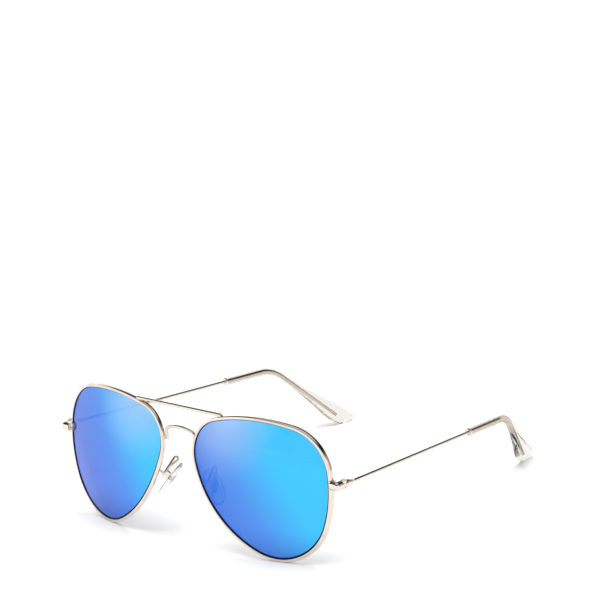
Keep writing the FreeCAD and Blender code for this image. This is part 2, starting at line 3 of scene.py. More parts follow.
import bpy
import numpy as np
from mathutils import Matrix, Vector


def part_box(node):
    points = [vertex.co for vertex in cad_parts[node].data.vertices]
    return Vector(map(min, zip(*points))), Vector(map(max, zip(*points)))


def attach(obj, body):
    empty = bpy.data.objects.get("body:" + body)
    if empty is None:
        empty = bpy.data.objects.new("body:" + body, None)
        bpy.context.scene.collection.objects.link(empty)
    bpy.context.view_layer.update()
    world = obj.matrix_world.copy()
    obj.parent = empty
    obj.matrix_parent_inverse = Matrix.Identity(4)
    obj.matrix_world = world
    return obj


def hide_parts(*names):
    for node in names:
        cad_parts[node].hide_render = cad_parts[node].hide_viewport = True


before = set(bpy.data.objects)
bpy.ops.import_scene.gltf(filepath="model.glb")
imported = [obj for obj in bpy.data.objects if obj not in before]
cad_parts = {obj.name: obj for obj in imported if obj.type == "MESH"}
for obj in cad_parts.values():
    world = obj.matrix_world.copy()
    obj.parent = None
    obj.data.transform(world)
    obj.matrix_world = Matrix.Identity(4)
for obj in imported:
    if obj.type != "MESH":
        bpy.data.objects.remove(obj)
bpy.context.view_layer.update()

bl_info = {
    "name": "Aviator Sunglasses",
    "version": (1, 0, 0),
    "blender": (4, 5, 0),
    "location": "3D View > Sidebar > Aviator",
    "description": "Builds wire-frame aviator sunglasses with mirrored lenses on their CAD frame",
    "category": "Object",
}

MM = 0.001


def linear(code):
    """The linear colour of an sRGB hex code."""
    parts = [int(code[i:i + 2], 16) / 255 for i in (1, 3, 5)]
    return tuple(p / 12.92 if p <= 0.04045 else ((p + 0.055) / 1.055) ** 2.4 for p in parts)


def unit(vector):
    return np.asarray(vector, float) / np.linalg.norm(vector)


def middle(node):
    """The middle of a CAD node's box."""
    low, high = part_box(node)
    return (np.array(low) + np.array(high)) / 2


# ------------------------------------------------------------------ sizes and colours
def length(name, description, default):
    return bpy.props.FloatProperty(
        name=name, description=description, default=default * MM, unit="LENGTH", precision=5
    )


def angle(name, description, default):
    return bpy.props.FloatProperty(
        name=name, description=description, default=radians(default), unit="ROTATION"
    )


def colour(name, description, code):
    return bpy.props.FloatVectorProperty(
        name=name, description=description, default=linear(code), subtype="COLOR", size=3
    )


class FrontSizes(bpy.types.PropertyGroup):
    """Sizes of the rims and lenses."""

    heading: angle("Start heading", "Direction of the opening's outline at its outer bottom", 69.5)
    side_radius: length("Side radius", "Temple side of the opening", 39.0)
    side_turn: angle("Side turn", "Turn of the temple side", 28.5)
    outer_radius: length("Outer corner radius", "Outer top corner of the opening", 17.8)
    outer_turn: angle("Outer corner turn", "Turn of the outer top corner", 69.5)
    brow_radius: length("Brow radius", "Nearly flat top of the opening", 70.5)
    brow_turn: angle("Brow turn", "Turn of the top", 27.5)
    inner_radius: length("Inner corner radius", "Inner top corner of the opening", 12.4)
    inner_turn: angle("Inner corner turn", "Turn of the inner top corner", 93.5)
    nose_turn: angle("Nose side turn", "Turn of the nose side", 46.5)
    curve: length("Surface radius", "Sphere that the front follows", 121.0)
    wrap: angle("Wrap", "How far each lens turns back towards its temple", 9.2)
    lean: angle("Lean", "How far the front's top leans back", 3.7)
    rim_width: length("Rim width", "Rim seen from the front", 1.1)
    rim_depth: length("Rim depth", "Rim from front to back", 1.5)
    rim_edge: length("Rim edge radius", "Rounding of the rim's outer edges", 0.42)
    lens_thick: length("Lens thickness", "Moulded lens", 1.0)
    lens_recess: length("Lens recess", "Lens behind the rim's front", 0.4)
    groove: length("Groove depth", "How far the lens edge sits in the rim", 0.5)
    # Painted shade: width of the dark band painted round each lens inside the rim.
    painted_shade_edge: length("Painted shade edge", "Margin of the lens inside the rim, painted dark as shade", 0.5)


class WireSizes(bpy.types.PropertyGroup):
    """Sizes of the bridge, brow bar, temples and hinges."""

    bridge_wire: length("Bridge wire", "Bridge wire diameter", 1.3)
    bridge_half: length("Bridge half width", "Middle of the face to each bridge leg", 7.05)
    bridge_foot: length("Bridge foot", "Height of the legs' cut ends", 37.3)
    bridge_apex: length("Bridge apex", "Height of the wire at the centre of the arch", 42.7)
    bridge_slope: angle("Bridge slope", "Slope of the arch's halves", 10.0)
    bridge_arch: length("Arch radius", "Bend at the middle of the arch", 18.0)
    bridge_corner: length("Bridge corner", "Bend between arch and leg", 1.9)
    temple_wire: length("Temple wire", "Temple wire diameter", 1.2)
    bend: length("Ear bend", "Bend radius of the temple wire at the ear", 12.0)
    collar_at: length("Collar distance", "Hinge pin to the collar, along the wire", 70.0)
    collar_wide: length("Collar diameter", "Metal collar in front of the tip", 3.0)
    collar_long: length("Collar length", "Metal collar in front of the tip", 0.9)
    tip_wide: length("Tip diameter", "Round part of the clear tip", 2.7)
    paddle_wide: length("Paddle width", "Flat end of the clear tip, across", 8.0)
    paddle_thick: length("Paddle thickness", "Flat end of the clear tip, through", 2.3)
    paddle_long: length("Paddle length", "From its start to where the tip is widest", 25.75)
    paddle_shift: length("Paddle shift", "Middle of the blunt end to the rear of the wire", 1.2)
    barrel: length("Barrel radius", "Hinge barrels", 1.1)
    strap: length("Strap thickness", "Strap of the end piece", 1.3)
    strap_tall: length("Strap height", "Strap of the end piece", 3.1)


class PadSizes(bpy.types.PropertyGroup):
    """Sizes of the nose pads and their arms."""

    pad_long: length("Pad length", "Nose pad along", 14.4)
    pad_wide: length("Pad width", "Nose pad across", 7.4)
    pad_dome: length("Pad dome", "Bulge of the skin side", 1.6)
    pad_back: length("Pad back", "Back face behind the pad's middle", 0.5)
    arm_wire: length("Arm wire", "Pad arm wire diameter", 0.9)


class Finishes(bpy.types.PropertyGroup):
    """Colours of the metals, lenses and plastics."""

    champagne: colour("Champagne", "Pale gold plating", "#E2D7CC")
    champagne_deep: colour("Champagne deep", "Pale gold plating where it is thicker", "#D6C8B9")
    nickel: colour("Nickel", "Turned screws", "#D2CEC8")
    brass: colour("Brass", "Inserts in the nose pads", "#C9BEAA")
    # The three coating hues are stops on one ramp. The angle of view, a painted reflection drift
    # towards the wearer's right and a drift downwards move each lens along it.
    coating: colour("Coating", "Lens coating where it is thinnest", "#02B6EE")
    coating_blue: colour("Coating blue", "Lens coating of middling thickness", "#3480DE")
    coating_violet: colour("Coating violet", "Lens coating where it is thickest", "#2A5ECC")
    # Painted highlight: a pale patch at the top of each lens beside the bridge.
    coating_painted_highlight: colour("Coating painted highlight", "Painted highlight near the bridge", "#9FBBEA")
    smoke: colour("Smoke", "Lens body seen from behind", "#2B3140")
    # Painted shade: colour of the dark band round each lens edge inside the rim.
    painted_shade_edge: colour("Painted shade edge", "Painted shade round the lens edge", "#0B1036")
    clear: colour("Clear", "Clear temple tips", "#DDDCD6")
    silicone: colour("Silicone", "Clear nose pads", "#F4F6F8")
    floor: colour("Floor", "Plain pale floor", "#F7F7F7")


# ------------------------------------------------------------------ numpy surfaces
def skin(rings, loop=False):
    """A skin over rings of points, as (points, faces with the UV of their corners).

    Ring i's point j is a function of two parameters, i along and j around. Each face joins points
    j and j + 1 of two neighbouring rings. With loop the last ring meets the first, and otherwise a
    fan about each end ring's middle closes the end. U and V are lengths along and around.
    """
    count, around = rings.shape[:2]
    start = rings if loop else rings[:-1]
    ahead = np.roll(rings, -1, axis=0) if loop else rings[1:]
    along = np.append(0, np.linalg.norm(ahead - start, axis=2).mean(axis=1).cumsum())
    aside = np.linalg.norm(np.roll(rings, -1, axis=1) - rings, axis=2).mean(axis=0)
    aside = np.append(0, aside.cumsum())
    row, column = np.indices((len(start), around)).reshape(2, -1)
    corner_row = np.stack([row, row, row + 1, row + 1], -1)
    corner_column = np.stack([column, column + 1, column + 1, column], -1)
    faces = corner_row % count * around + corner_column % around
    parts = [(faces, np.stack([along[corner_row], aside[corner_column]], -1))]
    points = rings.reshape(-1, 3)
    if not loop:
        points = np.vstack([points, rings[0].mean(axis=0), rings[-1].mean(axis=0)])
        j = np.arange(around)
        ahead_j = (j + 1) % around
        last = (count - 1) * around
        for pole, one, other in (
            (count * around, ahead_j, j),
            (count * around + 1, last + j, last + ahead_j),
        ):
            fan = np.stack([np.full(around, pole), one, other], -1)
            edge = aside[np.stack([j, j + 1, j], -1)]
            parts.append((fan, np.stack([np.full_like(edge, along[-1]), edge], -1)))
    return points, parts


def volume(points, parts):
    """Six times the volume inside the faces: the sum of a . (b x c) over fans of triangles."""
    total = 0
    for faces, _ in parts:
        for i in range(1, faces.shape[1] - 1):
            a, b, c = (points[faces[:, k]] for k in (0, i, i + 1))
            total += (a * np.cross(b, c)).sum()
    return total


def make_piece(name, skins, body, slot, materials, nodes=(), finish_rows=None, sharp=35):
    """One object from several skins, faces outwards, riding on a body and standing for nodes.

    finish_rows gives the material number of each face of the first skin.
    """
    points, faces, corners, offset = [], [], [], 0
    for skin_points, parts in skins:
        centred = skin_points - skin_points.mean(axis=0)
        step = 1 if volume(centred, parts) > 0 else -1
        for part_faces, uv in parts:
            faces += (part_faces[:, ::step] + offset).tolist()
            corners.append(uv[:, ::step].reshape(-1, 2))
        points.append(skin_points)
        offset += len(skin_points)
    mesh = bpy.data.meshes.new(name)
    mesh.from_pydata(np.vstack(points).tolist(), [], faces)
    layer = mesh.uv_layers.new(name="UVMap")
    layer.data.foreach_set("uv", np.vstack(corners).astype(np.float32).ravel())
    for material in materials:
        mesh.materials.append(material)
    if finish_rows is not None:
        numbers = np.zeros(len(faces), np.int32)
        numbers[:len(finish_rows)] = finish_rows
        numbers[len(finish_rows):] = finish_rows[-1]
        mesh.polygons.foreach_set("material_index", numbers)
    mesh.shade_smooth()
    mesh.set_sharp_from_angle(angle=radians(sharp))
    piece = bpy.data.objects.new(name, mesh)
    bpy.context.scene.collection.objects.link(piece)
    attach(piece, body)
    if nodes:
        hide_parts(*nodes)
    return piece


def mirrored(skins):
    """The skins' twins across the plane X = 0."""
    return [(points * (-1, 1, 1), parts) for points, parts in skins]


def make_pair(name, skins, body, slot, materials, nodes=(), **more):
    """The left piece and its mirror image; body is None for pieces that ride on the front."""
    for side, shapes in (("left", skins), ("right", mirrored(skins))):
        rides_on = f"{side}_{body}" if body else "front"
        stands_for = [f"{side}_{node}" for node in nodes]
        make_piece(f"{side}_{name}", shapes, rides_on, slot, materials, stands_for, **more)


def bent_path(points, radii, steps=14):
    """Places and headings along straight runs joined by arcs that are tangent to both runs.

    Each arc lies about the point that is its radius from both runs; its places are
    centre + radius (run sin t - inward cos t) for t from 0 to the turn.
    """
    points = np.asarray(points, float)
    places, headings = [points[:1]], [unit(points[1] - points[0])[None]]
    for before, corner, after, radius in zip(points, points[1:], points[2:], radii):
        come, go = unit(corner - before), unit(after - corner)
        turn = np.arccos(come @ go)
        inward = unit(go - come * (come @ go))
        centre = corner - come * radius * tan(turn / 2) + inward * radius
        t = np.linspace(0, turn, steps)[:, None]
        places.append(centre + radius * (come * np.sin(t) - inward * np.cos(t)))
        headings.append(come * np.cos(t) + inward * np.sin(t))
    places.append(points[-1:])
    headings.append(unit(points[-1] - points[-2])[None])
    return np.vstack(places), np.vstack(headings)


def carried(places, headings, reference, section):
    """Rings of a section carried along a path.

    The section's first axis is heading x reference and its second is square to both. It is
    (corners, 2), or (places, corners, 2) where it changes along the path.
    """
    aside = np.cross(headings, reference)
    aside /= np.linalg.norm(aside, axis=1)[:, None]
    upward = np.cross(aside, headings)
    section = np.broadcast_to(section, (len(places), *np.shape(section)[-2:]))
    return (
        places[:, None]
        + aside[:, None] * section[..., :1]
        + upward[:, None] * section[..., 1:]
    )


def circle(steps=32):
    t = np.linspace(0, 2 * pi, steps, endpoint=False)
    return np.stack([np.cos(t), np.sin(t)], -1)


def rounded_box(width, height, radius, steps=6):
    """A rectangle's outline about its middle, with quarter circles of radius at its corners."""
    t = (np.arange(4)[:, None] + np.linspace(0, 1, steps)).ravel() * pi / 2
    towards = np.repeat([[1, 1], [-1, 1], [-1, -1], [1, -1]], steps, axis=0)
    return towards * (np.array([width, height]) / 2 - radius) + radius * np.stack(
        [np.cos(t), np.sin(t)], -1
    )


def crowned_box(width, height, steps=32):
    """A strap's section: half an ellipse outwards on a flatter one, 0.9 and 0.1 of the width."""
    crown, back = 0.9, 0.1
    across, upward = circle(steps).T
    bulge = np.where(across > 0, crown, back) * across - (crown - back) / 2
    return np.stack([bulge * width, upward * height / 2], -1)


def eased_ends(places, headings, edge, reach):
    """The path with more places near both ends, and the share of full size that each ring has.

    Over the last stretch, as long as edge, the share follows a quarter circle, up to 1 at full
    reach, which rounds the end's edge.
    """
    t = np.linspace(0, pi / 2, 6)
    inset = edge * (1 - np.cos(t))
    share = 1 - edge / reach * (1 - np.sin(t))
    first = places[0] + headings[0] * inset[:, None]
    last = places[-1] - headings[-1] * inset[::-1, None]
    shares = np.concatenate([share, np.ones(len(places) - 2), share[::-1]])
    turns = np.vstack(
        [np.tile(headings[0], (len(t), 1)), headings[1:-1], np.tile(headings[-1], (len(t), 1))]
    )
    return np.vstack([first, places[1:-1], last]), turns, shares


def wire(points, radii, diameter, reference, edge=0.12, steps=32):
    """A round wire along runs and arcs, its cut ends eased by edge, a share of its radius."""
    radius = diameter / 2
    places, headings = bent_path(points, radii)
    places, headings, shares = eased_ends(places, headings, edge * radius, radius)
    section = circle(steps) * radius * shares[:, None, None]
    return skin(carried(places, headings, reference, section))


def turned(base, axis, profile, steps=40):
    """A turned shape: rings about an axis, of (distance along it, radius) from the profile."""
    axis = unit(axis)
    aside = unit(np.cross(axis, (0.31, 0.52, 0.79)))
    other = np.cross(axis, aside)
    profile = np.asarray(profile, float)
    round_points = circle(steps)
    spokes = round_points[:, :1] * aside + round_points[:, 1:] * other
    return skin(base + profile[:, :1, None] * axis + profile[:, 1:, None] * spokes)


def drum(low, high, radius, edge):
    """The profile of a drum with rounded edges, from low to high along its axis."""
    t = np.linspace(0, pi / 2, 5)[:, None]
    foot = np.hstack([low + edge * (1 - np.cos(t)), radius - edge * (1 - np.sin(t))])
    head = np.hstack([high - edge * (1 - np.cos(t)), radius - edge * (1 - np.sin(t))])
    return np.vstack([[(low, radius * 0.4)], foot, head[::-1], [(high, radius * 0.4)]])


# ------------------------------------------------------------------ finishes
def add_node(tree, kind, inputs=None, **settings):
    """Adds a node. inputs maps its sockets to values or to the sockets that feed them."""
    made = tree.nodes.new(kind)
    for name, value in settings.items():
        setattr(made, name, value)
    for name, value in (inputs or {}).items():
        if isinstance(value, bpy.types.NodeSocket):
            tree.links.new(value, made.inputs[name])
        else:
            made.inputs[name].default_value = value
    return made


def finish(build):
    """The material that build makes, named after it and made on first use."""
    material = bpy.data.materials.get(build.__name__)
    if material is None:
        material = bpy.data.materials.new(build.__name__)
        material.use_nodes = True
        tree = material.node_tree
        tree.nodes.clear()
        shader = build(tree, bpy.context.scene.aviator_finishes)
        add_node(tree, "ShaderNodeOutputMaterial", {"Surface": shader.outputs[0]})
    return material


def opaque(rgb):
    return (*rgb, 1)


def textured(tree, noise, polish, relief=None):
    """Shader inputs that a noise node drives.

    The roughness runs between the two values of polish. The relief, where there is one, has a
    strength and a depth in mm.
    """
    low, high = polish
    gloss = add_node(
        tree,
        "ShaderNodeMapRange",
        {"Value": noise.outputs["Fac"], "To Min": low, "To Max": high},
    )
    inputs = {"Roughness": gloss.outputs["Result"]}
    if relief:
        strength, depth = relief
        bump = add_node(
            tree,
            "ShaderNodeBump",
            {"Height": noise.outputs["Fac"], "Strength": strength, "Distance": depth * MM},
        )
        inputs["Normal"] = bump.outputs["Normal"]
    return inputs


def grain(tree, size, detail, polish, relief=None):
    """Shader inputs for even noise over a piece, with grains as big as size in mm."""
    place = add_node(tree, "ShaderNodeTexCoord")
    noise = add_node(
        tree,
        "ShaderNodeTexNoise",
        {"Vector": place.outputs["Object"], "Scale": 1 / (size * MM), "Detail": detail},
    )
    return textured(tree, noise, polish, relief)


def plated_nickel_silver(tree, hues):
    """Nickel silver wire, drawn, polished and plated pale champagne gold.

    The polish leaves a near mirror. Drawing lines run along the wire, 0.02 mm apart, drawn here
    0.16 mm apart so that they show, and the plating is a little deeper in hue in soft patches.
    """
    patch, line_long, line_wide = 9 * MM, 6 * MM, 0.16 * MM
    place = add_node(tree, "ShaderNodeTexCoord")
    patches = add_node(
        tree,
        "ShaderNodeTexNoise",
        {"Vector": place.outputs["Object"], "Scale": 1 / patch, "Detail": 2},
    )
    hue = add_node(tree, "ShaderNodeValToRGB", {"Fac": patches.outputs["Fac"]})
    thin, thick = hue.color_ramp.elements
    thin.position, thin.color = 0.35, opaque(hues.champagne)
    thick.position, thick.color = 0.7, opaque(hues.champagne_deep)
    stretch = add_node(
        tree,
        "ShaderNodeMapping",
        {"Vector": place.outputs["UV"], "Scale": (1 / line_long, 1 / line_wide, 1)},
    )
    lines = add_node(
        tree, "ShaderNodeTexNoise", {"Vector": stretch.outputs[0], "Scale": 1, "Detail": 3}
    )
    return add_node(
        tree,
        "ShaderNodeBsdfPrincipled",
        {
            "Base Color": hue.outputs["Color"],
            "Metallic": 1,
            **textured(tree, lines, (0.03, 0.09), (0.06, 0.02)),
        },
    )


def cast_nickel_silver(tree, hues):
    """The same plating over pressed and soldered pieces: softer in polish, with faint dimples."""
    return add_node(
        tree,
        "ShaderNodeBsdfPrincipled",
        {
            "Base Color": opaque(hues.champagne),
            "Metallic": 1,
            **grain(tree, 0.9, 3, (0.03, 0.1), (0.12, 0.05)),
        },
    )


def turned_steel(tree, hues):
    """Stainless steel screws, turned: fine tool marks give a soft shine."""
    return add_node(
        tree,
        "ShaderNodeBsdfPrincipled",
        {
            "Base Color": opaque(hues.nickel),
            "Metallic": 1,
            **grain(tree, 0.12, 2, (0.16, 0.34), (0.1, 0.02)),
        },
    )


def plated_brass(tree, hues):
    """Stamped brass inserts, thinly plated: warm, with a satin grain."""
    return add_node(
        tree,
        "ShaderNodeBsdfPrincipled",
        {
            "Base Color": opaque(hues.brass),
            "Metallic": 1,
            **grain(tree, 0.25, 2, (0.14, 0.3)),
        },
    )


def blue_mirror_coating(tree, hues):
    """Interference coating evaporated on the front of a moulded polycarbonate lens.

    A mirror that reflects azure and turns through blue to violet as it is seen more aslant, as
    thin films do. Over each lens's 57 mm the hue also drifts from one corner to the other:
    towards violet downwards, and, as painted reflection colour, towards the wearer's right.
    A painted highlight, a pale patch, lies at the top beside the bridge. It lets a little of the
    light through.
    """
    place = add_node(tree, "ShaderNodeTexCoord")
    split = add_node(tree, "ShaderNodeSeparateXYZ", {0: place.outputs["Object"]})
    side = add_node(tree, "ShaderNodeMath", {0: split.outputs["X"]}, operation="SIGN")
    lens = middle("left_lens")
    across = add_node(
        tree,
        "ShaderNodeMath",
        {0: side.outputs[0], 1: -lens[0], 2: split.outputs["X"]},
        operation="MULTIPLY_ADD",
    )
    slant = add_node(tree, "ShaderNodeLayerWeight", {"Blend": 0.5})
    film = add_node(
        tree,
        "ShaderNodeTexNoise",
        {"Vector": place.outputs["Object"], "Scale": 1 / (30 * MM), "Detail": 1},
    )
    # Painted reflection colour: the hue drifts towards violet towards the wearer's right of each
    # lens. A second drift turns it towards violet downwards.
    painted_rightward_drift, downward_drift = 0.0158 / MM, 0.01 / MM
    hue_drift = 0.16 + downward_drift * lens[2]
    for value, gain in (
        (slant.outputs["Facing"], 0.8),
        (across.outputs[0], -painted_rightward_drift),
        (split.outputs["Z"], -downward_drift),
        (film.outputs["Fac"], 0.08),
    ):
        hue_drift = add_node(
            tree, "ShaderNodeMath", {0: value, 1: gain, 2: hue_drift}, operation="MULTIPLY_ADD"
        ).outputs[0]
    hue = add_node(tree, "ShaderNodeValToRGB", {"Fac": hue_drift})
    steps = hue.color_ramp.elements
    steps[0].position, steps[0].color = 0.1, opaque(hues.coating)
    steps[1].position, steps[1].color = 1, opaque(hues.coating_violet)
    steps.new(0.55).color = opaque(hues.coating_blue)
    # Painted highlight: a pale patch at the top of each lens beside the bridge, mixed into the
    # coating's colour.
    either_side = add_node(
        tree, "ShaderNodeVectorMath", {0: place.outputs["Object"]}, operation="ABSOLUTE"
    )
    highlight_middle = np.abs(lens) + np.array([-15, 0, 25]) * MM
    highlight_reach = 27 * MM
    reach = add_node(
        tree,
        "ShaderNodeVectorMath",
        {0: either_side.outputs[0], 1: tuple(highlight_middle)},
        operation="DISTANCE",
    )
    painted_highlight = add_node(
        tree,
        "ShaderNodeMapRange",
        {"Value": reach.outputs["Value"], "From Max": highlight_reach, "To Min": 0.75, "To Max": 0},
        interpolation_type="SMOOTHSTEP",
    )
    shade = add_node(
        tree,
        "ShaderNodeMix",
        {0: painted_highlight.outputs["Result"], 6: hue.outputs["Color"], 7: opaque(hues.coating_painted_highlight)},
        data_type="RGBA",
    )
    return add_node(
        tree,
        "ShaderNodeBsdfPrincipled",
        {"Base Color": shade.outputs[2], "Metallic": 1, "Roughness": 0.09, "Alpha": 0.89},
    )


def smoke_polycarbonate(tree, hues):
    """The lens body seen from behind: smoke-grey polycarbonate with a glossy moulded face."""
    return add_node(
        tree,
        "ShaderNodeBsdfPrincipled",
        {
            "Base Color": opaque(hues.smoke),
            "IOR": 1.59,
            "Specular IOR Level": 0.8,
            "Alpha": 0.52,
            **grain(tree, 20, 1, (0.03, 0.07)),
        },
    )


def painted_shade_lens_edge(tree, hues):
    """Painted shade: a dark band round the lens edge inside the rim, wider below, where the rim's
    groove shades the lens.

    The rim's groove shades it, so its shine is set low.
    """
    return add_node(
        tree,
        "ShaderNodeBsdfPrincipled",
        {
            "Base Color": opaque(hues.painted_shade_edge),
            "IOR": 1.59,
            "Specular IOR Level": 0.05,
            **grain(tree, 3, 1, (0.1, 0.25)),
        },
    )


def clear_acetate(tree, hues):
    """Injected clear acetate: water-clear, with faint flow lines and a polished skin.

    Acetate's IOR is 1.48. It is set lower here, matched to tips that stay pale right across.
    """
    return add_node(
        tree,
        "ShaderNodeBsdfPrincipled",
        {
            "Base Color": opaque(hues.clear),
            "IOR": 1.33,
            "Transmission Weight": 1,
            **grain(tree, 5, 2, (0.01, 0.07), (0.15, 0.1)),
        },
    )


def clear_silicone(tree, hues):
    """Moulded clear silicone: a soft skin with a fine grain, slightly cloudy."""
    return add_node(
        tree,
        "ShaderNodeBsdfPrincipled",
        {
            "Base Color": opaque(hues.silicone),
            "IOR": 1.41,
            "Transmission Weight": 0.95,
            **grain(tree, 0.6, 2, (0.08, 0.2), (0.1, 0.05)),
        },
    )


def pale_floor(tree, hues):
    """Plain pale matt board, with a paper tooth of about 2 mm that barely shows."""
    return add_node(
        tree,
        "ShaderNodeBsdfPrincipled",
        {
            "Base Color": opaque(hues.floor),
            "Specular IOR Level": 0.1,
            **grain(tree, 2, 2, (0.88, 0.92), (0.03, 0.1)),
        },
    )


# ------------------------------------------------------------------ the front
def opening(sizes, steps=56):
    """Centres, radii and outward directions round a lens opening, about the opening's middle.

    The outline is six tangent arcs. On each, the point is centre + outward (radius + margin), and
    outward turns evenly. The last two radii close the chain.
    """
    turns = np.array([
        sizes.side_turn, sizes.outer_turn, sizes.brow_turn, sizes.inner_turn, sizes.nose_turn
    ])
    turns = np.append(turns, 2 * pi - turns.sum())
    ends = sizes.heading + turns.cumsum()
    starts = ends - turns
    chords = np.stack([np.sin(ends) - np.sin(starts), np.cos(starts) - np.cos(ends)], -1)
    radii = np.array([
        sizes.side_radius, sizes.outer_radius, sizes.brow_radius, sizes.inner_radius
    ])
    radii = np.append(radii, np.linalg.solve(chords[4:].T, -radii @ chords[:4]))
    joints = np.vstack([[(0, 0)], (chords * radii[:, None]).cumsum(axis=0)[:-1]])
    centres = joints + radii[:, None] * np.stack([-np.sin(starts), np.cos(starts)], -1)
    share = np.linspace(0, 1, steps, endpoint=False)
    headings = starts[:, None] + turns[:, None] * share
    outward = np.stack([np.sin(headings), -np.cos(headings)], -1).reshape(-1, 2)
    centres = np.repeat(centres, steps, axis=0)
    radii = np.repeat(radii, steps)
    edge = centres + outward * radii[:, None]
    centres -= (edge.max(axis=0) + edge.min(axis=0)) / 2
    return centres, radii, outward


def front_point(sizes, flat, behind):
    """Points of the front at flat (x, z) about the left opening's middle, some depth behind it.

    The surface is a sphere through the opening's middle; a depth is a sphere that much smaller.
    """
    lens = middle("left_rim")
    lens[1] = FRONT_Y
    inward = unit([-tan(sizes.wrap), 1, -tan(sizes.lean)])
    ball = lens + inward * sizes.curve
    x = lens[0] + flat[..., 0]
    z = lens[2] + flat[..., 1]
    reach = (sizes.curve - behind) ** 2 - (x - ball[0]) ** 2 - (z - ball[2]) ** 2
    return np.stack([x, ball[1] - np.sqrt(reach), z], -1)


def rim_section(sizes):
    """The rim's section as (margin outside the opening, depth): rounded, with the lens groove."""
    t = np.linspace(0, pi / 2, 7)
    outer, inner = sizes.rim_edge, 0.1 * MM
    wide, deep = sizes.rim_width, sizes.rim_depth
    # Each corner: the margin and depth of its round's middle, its radius and where it starts.
    corners = (
        (inner, inner, inner, pi),
        (wide - outer, outer, outer, 1.5 * pi),
        (wide - outer, deep - outer, outer, 0),
        (inner, deep - inner, inner, 0.5 * pi),
    )
    rounds = [
        np.stack([m + r * np.cos(start + t), d + r * np.sin(start + t)], -1)
        for m, d, r, start in corners
    ]
    gap = 0.02 * MM
    front = sizes.lens_recess - gap
    back = min(front + sizes.lens_thick + 2 * gap, deep - inner - gap)
    groove = [(0, back), (sizes.groove + gap, back), (sizes.groove + gap, front), (0, front)]
    return np.vstack(rounds + [groove])


class AVIATOR_OT_rims(bpy.types.Operator):
    """Both rims: a grooved wire section carried round the teardrop opening"""

    bl_idname = "aviator.rims"
    bl_label = "Rims"

    def execute(self, context):
        sizes = context.scene.aviator_front
        centres, radii, outward = opening(sizes)
        margin, depth = rim_section(sizes).T
        flat = centres[:, None] + outward[:, None] * (radii[:, None] + margin)[..., None]
        rings = front_point(sizes, flat, depth)
        make_pair("rim_wire", [skin(rings, loop=True)], None, "frame_metal",
                  [finish(plated_nickel_silver)], ["rim"])
        return {"FINISHED"}


class AVIATOR_OT_lenses(bpy.types.Operator):
    """Both lenses: rings from the middle of the front, over the edge, to the middle of the back"""

    bl_idname = "aviator.lenses"
    bl_label = "Lenses"

    def execute(self, context):
        sizes = context.scene.aviator_front
        centres, radii, outward = opening(sizes)
        # Painted shade: each lens is painted dark round its edge inside the rim, wider below,
        # where the rim's groove shades it.
        bevel, wider_below = 0.12 * MM, 0.45
        shade_margin = sizes.painted_shade_edge * (1 - wider_below * outward[:, 1])
        share = np.linspace(0.02, 1, 26)
        rows = len(share)
        front, back = sizes.lens_recess, sizes.lens_recess + sizes.lens_thick
        outside = sizes.groove - bevel
        share = np.concatenate([share, np.ones(3), share[::-1]])
        margin = np.concatenate([[outside, sizes.groove, sizes.groove], np.full(rows, outside)])
        margin = np.vstack([np.tile(-shade_margin, (rows, 1)), np.tile(margin[:, None], len(radii))])
        depth = np.concatenate([
            np.full(rows + 1, front), [front + bevel, back - bevel], np.full(rows, back)
        ])
        edge = centres + outward * (radii + margin)[..., None]
        rings = front_point(sizes, edge * share[:, None, None], depth[:, None])
        around = len(radii)
        row = np.arange(len(share) - 1)
        # Face numbers: the mirror coating, the lens body behind, and the dark band of painted
        # shade round the edge.
        coated, body, painted_shade_edge = 0, 1, 2
        number = np.where(row < rows - 1, coated, np.where(row < rows + 3, painted_shade_edge, body))
        numbers = np.repeat([*number, coated, body], around)
        make_pair("mirror_lens", [skin(rings)], None, "mirror_lens",
                  [finish(blue_mirror_coating), finish(smoke_polycarbonate),
                   finish(painted_shade_lens_edge)],
                  ["lens"], finish_rows=numbers.astype(np.int32))
        return {"FINISHED"}


class AVIATOR_OT_bridge(bpy.types.Operator):
    """The bridge, a bent wire arch on two square-cut legs, and the straight brow bar"""

    bl_idname = "aviator.bridge"
    bl_label = "Bridge and brow bar"

    def execute(self, context):
        sizes = context.scene.aviator_wires
        low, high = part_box("bridge")
        back = (low[1] + high[1]) / 2
        half, slope = sizes.bridge_half, sizes.bridge_slope
        peak = sizes.bridge_apex + sizes.bridge_arch * (1 / cos(slope) - 1)
        shoulder = peak - half * tan(slope)
        points = [
            (-half, back, sizes.bridge_foot),
            (-half, back, shoulder),
            (0, back, peak),
            (half, back, shoulder),
            (half, back, sizes.bridge_foot),
        ]
        radii = [sizes.bridge_corner, sizes.bridge_arch, sizes.bridge_corner]
        arch = wire(points, radii, sizes.bridge_wire, (0, 1, 0), edge=0.2)
        make_piece("bridge_arch", [arch], "front", "frame_metal",
                   [finish(plated_nickel_silver)], ["bridge"])
        low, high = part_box("brow_bar")
        ends = [(x, *middle("brow_bar")[1:]) for x in (low[0], high[0])]
        bar = wire(ends, [], high[2] - low[2], (0, 1, 0), edge=0.2)
        make_piece("brow_rod", [bar], "front", "frame_metal",
                   [finish(plated_nickel_silver)], ["brow_bar"])
        return {"FINISHED"}


